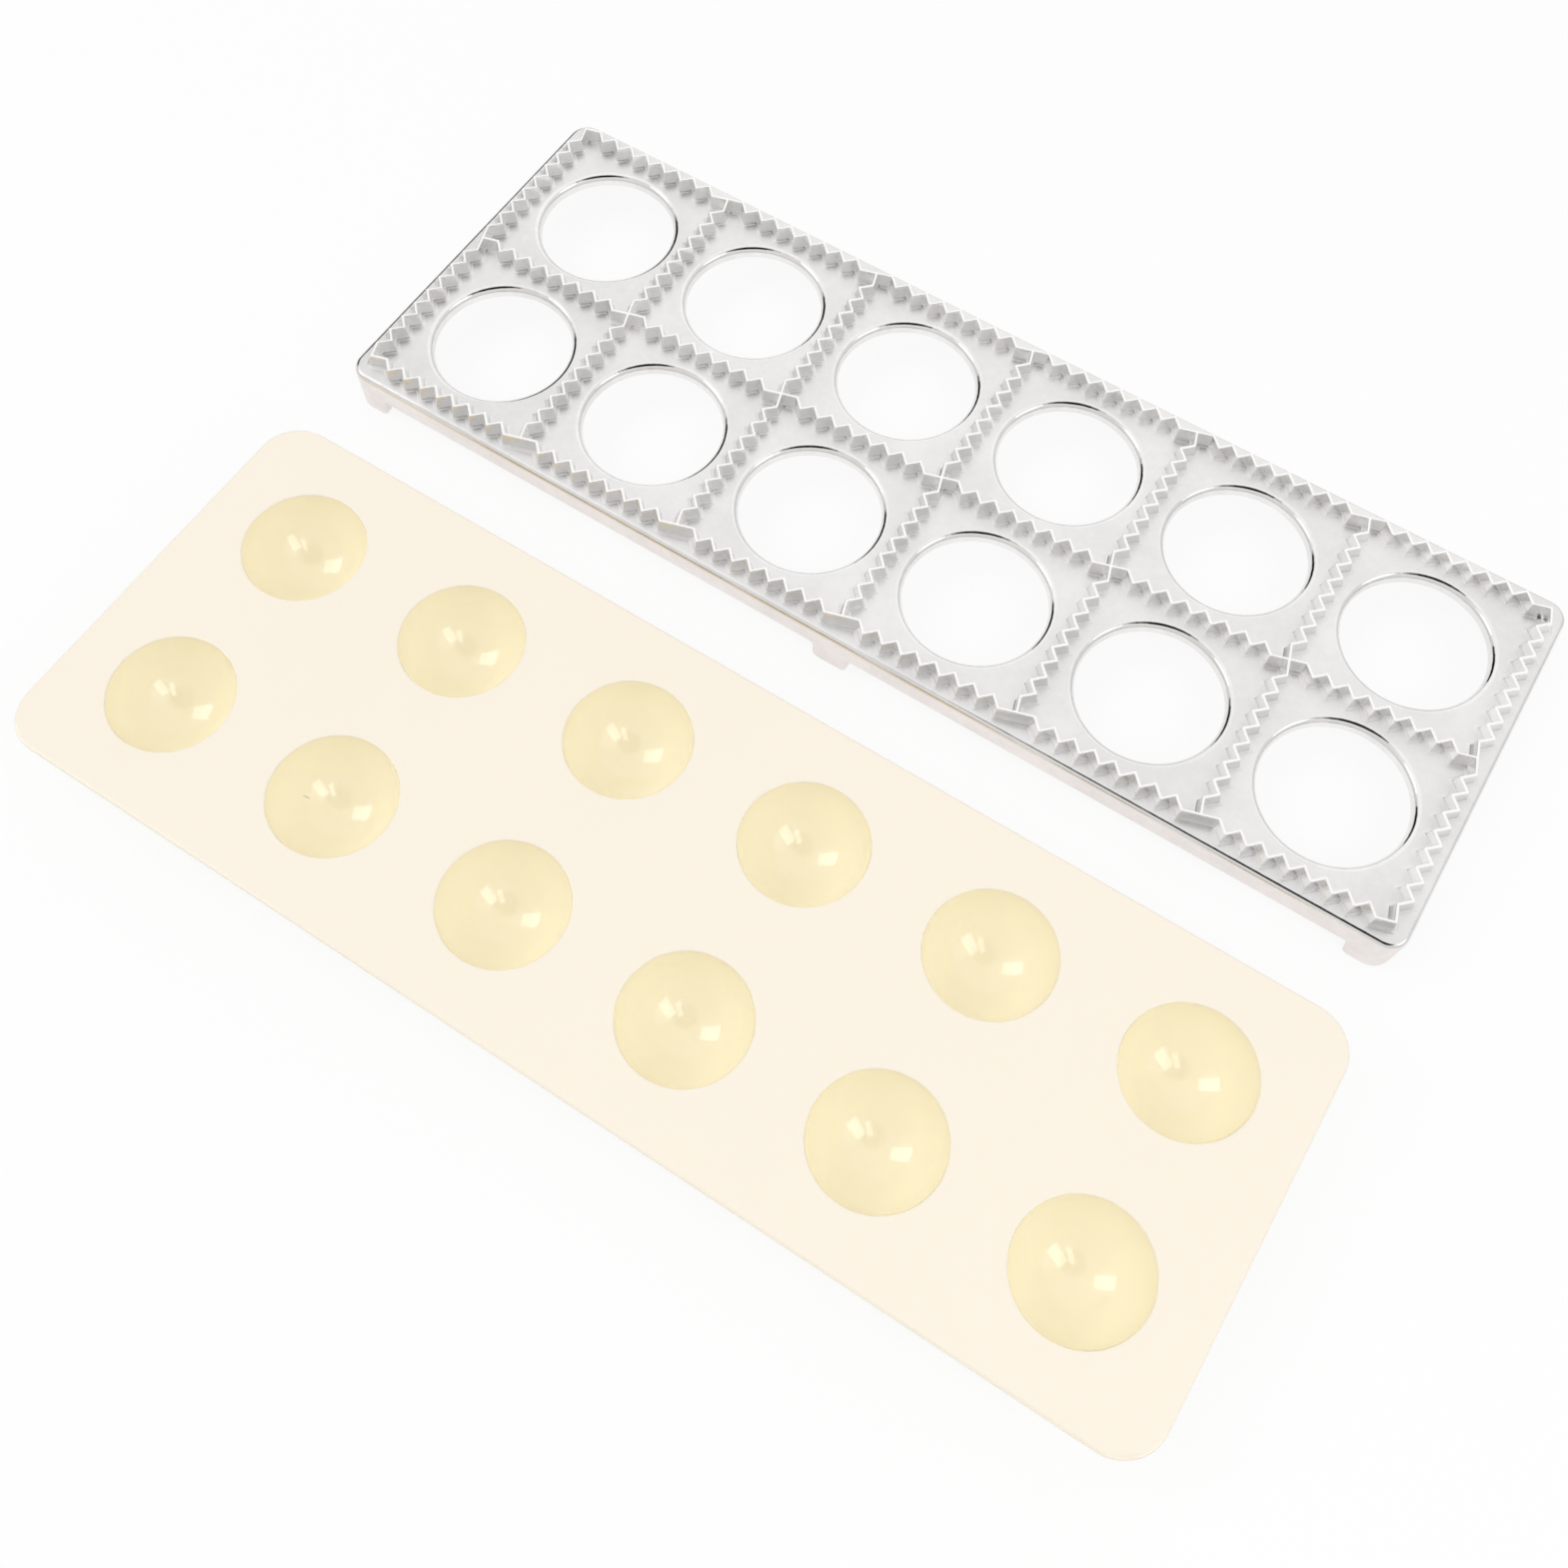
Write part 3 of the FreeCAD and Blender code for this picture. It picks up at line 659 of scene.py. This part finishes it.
class Shader:
    """The node tree of one material or of the world."""

    def __init__(self, owner):
        owner.use_nodes = True
        self.tree = owner.node_tree
        self.tree.nodes.clear()

    def node(self, kind, inputs=(), output=0, **settings):
        """A node: its settings first, then the values or links of its sockets; gives one of its outputs.

        A colour's three numbers get a fourth, its alpha.
        """
        made = self.tree.nodes.new(kind)
        for setting, value in settings.items():
            setattr(made, setting, value)
        for name, value in dict(inputs).items():
            socket = made.inputs[name]
            if isinstance(value, Number):
                self.tree.links.new(value.socket, socket)
            else:
                socket.default_value = (*value, 1) if socket.type == "RGBA" else value
        return Number(self, made.outputs[output]) if made.outputs else made

    def place(self):
        """The point's place on its object."""
        return self.node("ShaderNodeTexCoord", output="Object")

    def axis(self, vector, name):
        """One part of a vector: X, Y or Z."""
        return self.node("ShaderNodeSeparateXYZ", {"Vector": vector}, output=name)

    def ray(self, name):
        """1 on the rays that a Light Path output names, and 0 on all others."""
        return self.node("ShaderNodeLightPath", output=name)

    def towards(self, vector, direction):
        """The cosine of the angle between a unit vector and a fixed direction."""
        return self.node("ShaderNodeVectorMath", {0: vector, 1: Vector(direction).normalized()},
                         output="Value", operation="DOT_PRODUCT")

    def reach(self, place, centre, turn=0.0, across=1.0):
        """Distance in plan from a point: the root of the squares along a direction and across it.

        The direction is turned left from +X, and the part across it counts as often as stated.
        """
        x, y = self.axis(place, "X") - centre[0], self.axis(place, "Y") - centre[1]
        ahead = x * math.cos(turn) + y * math.sin(turn)
        aside = (y * math.cos(turn) - x * math.sin(turn)) * across
        return (ahead * ahead + aside * aside).math("SQRT")

    def noise(self, waves, detail=2.0, roughness=0.5):
        """Smooth noise between 0 and 1, with about so many waves to a metre."""
        return self.node("ShaderNodeTexNoise", {"Vector": self.place(), "Scale": waves, "Detail": detail,
                                                "Roughness": roughness})

    def ramp(self, value, low, high):
        """0 up to low, 1 from high on, and smooth between them; high may be the smaller number."""
        return self.node("ShaderNodeMapRange", {"Value": value, "From Min": low, "From Max": high},
                         interpolation_type="SMOOTHSTEP")

    def blend(self, factor, first, second):
        """Two colours, mixed: the first where the factor is 0, the second where it is 1."""
        return self.node("ShaderNodeMix", {0: factor, 6: first, 7: second}, output=2, data_type="RGBA")

    def bump(self, height, distance, under=None):
        """A normal bent by a height between 0 and 1 times a distance, over another normal if there is one."""
        inputs = {"Height": height, "Distance": distance, "Strength": 1.0}
        if under:
            inputs["Normal"] = under
        return self.node("ShaderNodeBump", inputs)

    def finish(self, surface, kind="ShaderNodeOutputMaterial"):
        """Puts a surface into the tree's output."""
        self.node(kind, {"Surface": surface})


def scaled(rgb, factor):
    """A colour, lighter or darker by a factor, kept within 1."""
    return tuple(min(1.0, channel * factor) for channel in rgb)


def cast_aluminium(tray, top):
    """Die-cast skin: satin flats with faint clouds and mottling, crisper and slightly uneven ridge walls,
    ridge tops painted lighter as a highlight along them, and a small pit painted dark as its shade in a ring
    painted lighter as a highlight.

    The walls, the tops and the edges are told apart by their height, and the pit by the distance from it.
    """
    material = bpy.data.materials.new("cast_aluminium")
    shader = Shader(material)
    place = shader.place()
    height = shader.axis(place, "Z")
    clouds, grain = shader.noise(CLOUD_WAVES), shader.noise(GRAIN_WAVES)
    mottling = shader.noise(MOTTLING_WAVES, detail=3.0, roughness=0.6)
    uneven = shader.noise(UNEVEN_WAVES, detail=1.0)
    walls = shader.ramp(height, top + tray.step_height, top + WALL_SHARE * tray.ridge_height)
    top_highlight = shader.ramp(height, top + TOP_HIGHLIGHT_SHARE * tray.ridge_height, top + tray.ridge_height)
    edges = shader.ramp(height, *(top - depth for depth in SATIN_DEPTHS))
    reach = shader.reach(place, PIT_PLACE)
    ring = shader.ramp(reach, *RING_RISE) * (1 - shader.ramp(reach, *RING_FALL)) * (1 - walls)
    pit_shade = (1 - shader.ramp(reach, *PIT_EDGE)) * (1 - walls)
    clear = shader.ramp(clouds * CLOUD_SHARE + mottling * (1 - CLOUD_SHARE), *CLEARING)
    base = shader.blend(clear, scaled(tray.metal, CLOUDED), scaled(tray.metal, CLEAR))
    # Painted light: lighter ridge tops as their highlight, a lighter ring as its highlight and a dark pit as
    # its shade
    for mask, shade in ((top_highlight, TOP_HIGHLIGHT), (ring, RING_HIGHLIGHT), (pit_shade, PIT_SHADE)):
        base = shader.blend(mask, base, scaled(tray.metal, shade))
    rough = (tray.roughness + START_ROUGHNESS + mottling * MOTTLING_ROUGHNESS + clouds * CLOUD_ROUGHNESS
             + walls * WALL_ROUGHNESS + edges * EDGE_ROUGHNESS)
    waves = shader.bump(clouds, CLOUD_DEPTH)
    mottled = shader.bump(mottling * MOTTLING_BUMP + uneven * walls + ring, MOTTLING_DEPTH, under=waves)
    normal = shader.bump(grain, GRAIN_DEPTH, under=mottled)
    shader.finish(shader.node("ShaderNodeBsdfPrincipled", {
        "Base Color": base, "Metallic": 1.0, "Roughness": rough, "Normal": normal}))
    return material


def cream_plastic(press, top):
    """Glossy moulded plastic with the faintest clouding and a moulded ripple, painted yellower and lighter
    down in the bowls for the light that bounces round them and comes through their walls.

    The bowls are told apart by their depth, and the nick by the distance from it and by its height, so that
    it is only on the bowl's inner side.
    """
    material = bpy.data.materials.new("cream_plastic")
    shader = Shader(material)
    place = shader.place()
    height = shader.axis(place, "Z")
    clouds, ripple = shader.noise(PLASTIC_WAVES), shader.noise(RIPPLE_WAVES)
    bowl = shader.ramp(height, *(top - depth for depth in BOWL_GLOW_DEPTHS))
    reach = shader.reach(place, NICK_PLACE, NICK_TURN, NICK_SLIM)
    nick = 1 - shader.ramp(reach, *(part * NICK_LENGTH for part in NICK_FADE))
    nick = nick * shader.ramp(height, *(part * top for part in NICK_HEIGHTS))
    flat = shader.blend(clouds, scaled(press.plastic, PLASTIC_CLOUDED), scaled(press.plastic, PLASTIC_CLEAR))
    # Painted light: the bowls turn to their painted glow of bounced light and light through the wall
    base = shader.blend(bowl, flat, press.painted_bowl_glow)
    base = shader.blend(nick, base, scaled(press.painted_bowl_glow, NICK_SHADE))
    rough = ripple * RIPPLE_ROUGHNESS + press.roughness
    normal = shader.bump(ripple, RIPPLE_DEPTH)
    shader.finish(shader.node("ShaderNodeBsdfPrincipled", {
        "Base Color": base, "Roughness": rough, "Normal": normal, "IOR": PLASTIC_IOR}))
    return material


def carried(piece, node, material):
    """Puts a finished piece in the place of its node."""
    piece.data.materials.append(material)
    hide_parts(node)
    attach(piece, BODY)


class RAVIOLI_OT_cutting_tray(bpy.types.Operator):
    """Make the cast cutting tray with its zigzag ridges, lipped holes, skirt and six feet"""
    bl_idname = "ravioli.cutting_tray"
    bl_label = "Cutting tray"

    def execute(self, context):
        grid, tray = context.scene.mold_grid, context.scene.tray_settings
        low, high = (np.array(corner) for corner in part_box("cutting_tray"))
        centre, top = (low + high)[:2] / 2, high[2] - tray.ridge_height
        # A straight run out of each crossing, then the zigzag's corners, by turns left and right of it
        teeth = 2 * tray.tooth_count
        step = (grid.pitch - 2 * tray.cross_reach) / (teeth - 1)
        along = np.concatenate(((0,), tray.cross_reach + step * np.arange(teeth)))
        across = np.concatenate(((0,), step / 2 * (-1.0) ** np.arange(teeth)))
        spread = step * TOOTH_SHARE
        square, border = grid_loops(grid, along, across, TOOTH_COLUMNS, CORNER_COLUMNS, spread,
                                    tray.cross_reach - spread)
        outline = Outline(border, centre, (high - low)[:2] / 2, tray.corner, straight=STRAIGHT_COLUMNS)
        grids = copies(tray_square(square, tray, top), square_centres(grid, centre))
        grids.append((tray_border(border, tray, outline, top), True))
        piece = mesh_object(METAL_PIECE, grids)
        carried(piece, "cutting_tray", cast_aluminium(tray, top))
        return {"FINISHED"}


class RAVIOLI_OT_press_plate(bpy.types.Operator):
    """Make the moulded press plate with its twelve bowls"""
    bl_idname = "ravioli.press_plate"
    bl_label = "Press plate"

    def execute(self, context):
        grid, press = context.scene.mold_grid, context.scene.press_settings
        low, high = (np.array(corner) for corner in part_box("press_plate"))
        centre, top = (low + high)[:2] / 2, high[2]
        along = np.arange(SIDE_COLUMNS) * grid.pitch / SIDE_COLUMNS
        square, border = grid_loops(grid, along, 0 * along, 1, PRESS_CORNER_COLUMNS, 0.0, 0.0)
        outline = Outline(border, centre, (high - low)[:2] / 2, press.corner, first_turn=PRESS_FIRST_TURN)
        centres = square_centres(grid, centre)
        grids = copies(press_square(square, press, top), centres)
        grids += copies(press_bump(square, press, top), centres)
        grids.append((press_border(border, press, outline, top), True))
        piece = mesh_object(PLASTIC_PIECE, grids)
        carried(piece, "press_plate", cream_plastic(press, top))
        return {"FINISHED"}


def pale_floor(stage):
    """White to the camera, with a share of its own shading left as the soft shadow.

    Reflections show it too, with painted reflections of light and shade: a pinkish tint for the shaded floor
    between the pieces, lit by bounce light from the cream plate, and a warm one for the bounce light close to
    the press plate.
    """
    material = bpy.data.materials.new("pale_floor")
    shader = Shader(material)
    place = shader.place()
    along, across = shader.axis(place, "X"), shader.axis(place, "Y")
    # Painted reflections: the shaded gap between the pieces and the warm bounce light next to the press plate
    painted_gap_shade = shader.ramp(across, *GAP_SHADE_FAR) * shader.ramp(across, *GAP_SHADE_NEAR)
    painted_warm_bounce = shader.ramp(across, *WARM_BOUNCE_ACROSS) * shader.ramp(along, *WARM_BOUNCE_ALONG) * painted_gap_shade
    mirrored = shader.blend(painted_warm_bounce, shader.blend(painted_gap_shade, stage.backdrop, stage.painted_gap_shade), stage.painted_warm_bounce)
    glossy = shader.ray("Is Glossy Ray")
    seen = shader.ray("Is Camera Ray") + shader.ray("Is Transmission Ray")
    matt = shader.node("ShaderNodeBsdfDiffuse", {"Color": scaled(stage.backdrop, FLOOR_WHITE)})
    glow = shader.node("ShaderNodeEmission", {"Color": shader.blend(glossy, stage.backdrop, mirrored)})
    own = glossy * (stage.gloss_shadow - stage.shadow) + stage.shadow
    shown = shader.node("ShaderNodeMixShader", {0: own, 1: glow, 2: matt})
    shader.finish(shader.node("ShaderNodeMixShader", {0: (glossy + seen).clamped(), 1: matt, 2: shown}))
    return material


def sky_patch(shader, direction, side, angles):
    """1 in a round patch of the sky and 0 outside of it, by the angle from the direction to its middle."""
    return shader.ramp(shader.towards(direction, side), *(math.cos(math.radians(angle)) for angle in angles))


def studio_world(stage):
    """A darker rim at the horizon and an even sky above it, with three bright patches and two dark ones; the
    backdrop's colour where the camera sees it."""
    world = bpy.data.worlds.new("studio")
    shader = Shader(world)
    direction = shader.node("ShaderNodeTexCoord", output="Generated")
    level = shader.ramp(shader.axis(direction, "Z"), *RIM_HEIGHTS) * (stage.sky - stage.rim) + stage.rim
    level = level + sky_patch(shader, direction, GLOW_SIDE, GLOW_ANGLES) * stage.glow
    for side in SPARK_SIDES:
        level = level + sky_patch(shader, direction, side, SPARK_ANGLES) * stage.spark
    for side in DARK_SIDES:
        level = level * (1 - sky_patch(shader, direction, side, DARK_ANGLES))
    light = shader.node("ShaderNodeBackground", {"Color": (1.0, 1.0, 1.0), "Strength": level})
    backdrop = shader.node("ShaderNodeBackground", {"Color": stage.backdrop, "Strength": 1.0})
    shader.finish(shader.node("ShaderNodeMixShader", {0: shader.ray("Is Camera Ray"), 1: light, 2: backdrop}),
                  "ShaderNodeOutputWorld")
    return world


def window_lamp(name, place, width, height, radiance, lit):
    """A rectangular lamp that faces the mold, as bright as stated over its whole face.

    Its power is its radiance times pi times its area. It lights only what is in a collection, because on the
    polished ridges it would blot out their teeth.
    """
    light = bpy.data.lights.new(name, "AREA")
    light.shape = "RECTANGLE"
    light.size, light.size_y = width, height
    light.energy = radiance * math.pi * width * height
    lamp = bpy.data.objects.new(name, light)
    lamp.location = place
    lamp.rotation_euler = (-Vector(place)).to_track_quat("-Z", "Y").to_euler()
    lamp.light_linking.receiver_collection = lit
    bpy.context.collection.objects.link(lamp)


class RAVIOLI_OT_stage(bpy.types.Operator):
    """Make the pale floor, the studio world, three window-like lamps and the camera"""
    bl_idname = "ravioli.stage"
    bl_label = "Stage"

    def execute(self, context):
        stage = context.scene.stage_settings
        ends = ((-1, -1), (1, -1), (1, 1), (-1, 1))
        corners = [(x * FLOOR_HALF, y * FLOOR_HALF, -FLOOR_DROP) for x, y in ends]
        mesh = bpy.data.meshes.new("floor")
        mesh.from_pydata(corners, [], [(0, 1, 2, 3)])
        mesh.materials.append(pale_floor(stage))
        floor = bpy.data.objects.new("floor", mesh)
        context.collection.objects.link(floor)
        context.scene.world = studio_world(stage)
        not_metal = bpy.data.collections.new("not_metal")
        for item in context.scene.objects:
            if item.type == "MESH" and item.name != METAL_PIECE:
                not_metal.objects.link(item)
        for name, place, width, height in WINDOWS:
            window_lamp(name, place, width, height, stage.lamps, not_metal)
        camera_data = bpy.data.cameras.new("camera")
        camera_data.lens, camera_data.sensor_width = LENS, SENSOR
        camera = bpy.data.objects.new("camera", camera_data)
        camera.matrix_world = Matrix.Translation(CAMERA_PLACE)
        for degrees, axis in CAMERA_TURNS:
            camera.matrix_world = camera.matrix_world @ Matrix.Rotation(math.radians(degrees), 4, axis)
        context.collection.objects.link(camera)
        context.scene.camera = camera
        context.scene.view_settings.view_transform = "Standard"
        return {"FINISHED"}


class RAVIOLI_PT_mold(bpy.types.Panel):
    """The mold's sizes, colours and operators."""
    bl_label = "Ravioli mold"
    bl_space_type = "VIEW_3D"
    bl_region_type = "UI"
    bl_category = "Ravioli mold"

    def draw(self, context):
        scene, layout = context.scene, self.layout
        for operator, settings in ((RAVIOLI_OT_cutting_tray, scene.tray_settings),
                                   (RAVIOLI_OT_press_plate, scene.press_settings),
                                   (RAVIOLI_OT_stage, scene.stage_settings)):
            box = layout.box()
            box.operator(operator.bl_idname)
            for name in settings.bl_rna.properties.keys():
                if name not in ("rna_type", "name"):
                    box.prop(settings, name)
        for name in ("pitch", "columns", "rows"):
            layout.prop(scene.mold_grid, name)


CLASSES = (MoldGrid, TraySettings, PressSettings, StageSettings, RAVIOLI_OT_cutting_tray,
           RAVIOLI_OT_press_plate, RAVIOLI_OT_stage, RAVIOLI_PT_mold)
SETTINGS = (("mold_grid", MoldGrid), ("tray_settings", TraySettings), ("press_settings", PressSettings),
            ("stage_settings", StageSettings))


def register():
    """Adds the classes to Blender, and the settings to its scenes."""
    for item in CLASSES:
        bpy.utils.register_class(item)
    for name, group in SETTINGS:
        setattr(bpy.types.Scene, name, PointerProperty(type=group))


def unregister():
    """Takes the settings and the classes out again."""
    for name, _ in SETTINGS:
        delattr(bpy.types.Scene, name)
    for item in reversed(CLASSES):
        bpy.utils.unregister_class(item)


def main():
    """Makes the pieces and the stage."""
    register()
    bpy.ops.ravioli.cutting_tray()
    bpy.ops.ravioli.press_plate()
    bpy.ops.ravioli.stage()


if __name__ == "__main__":
    main()
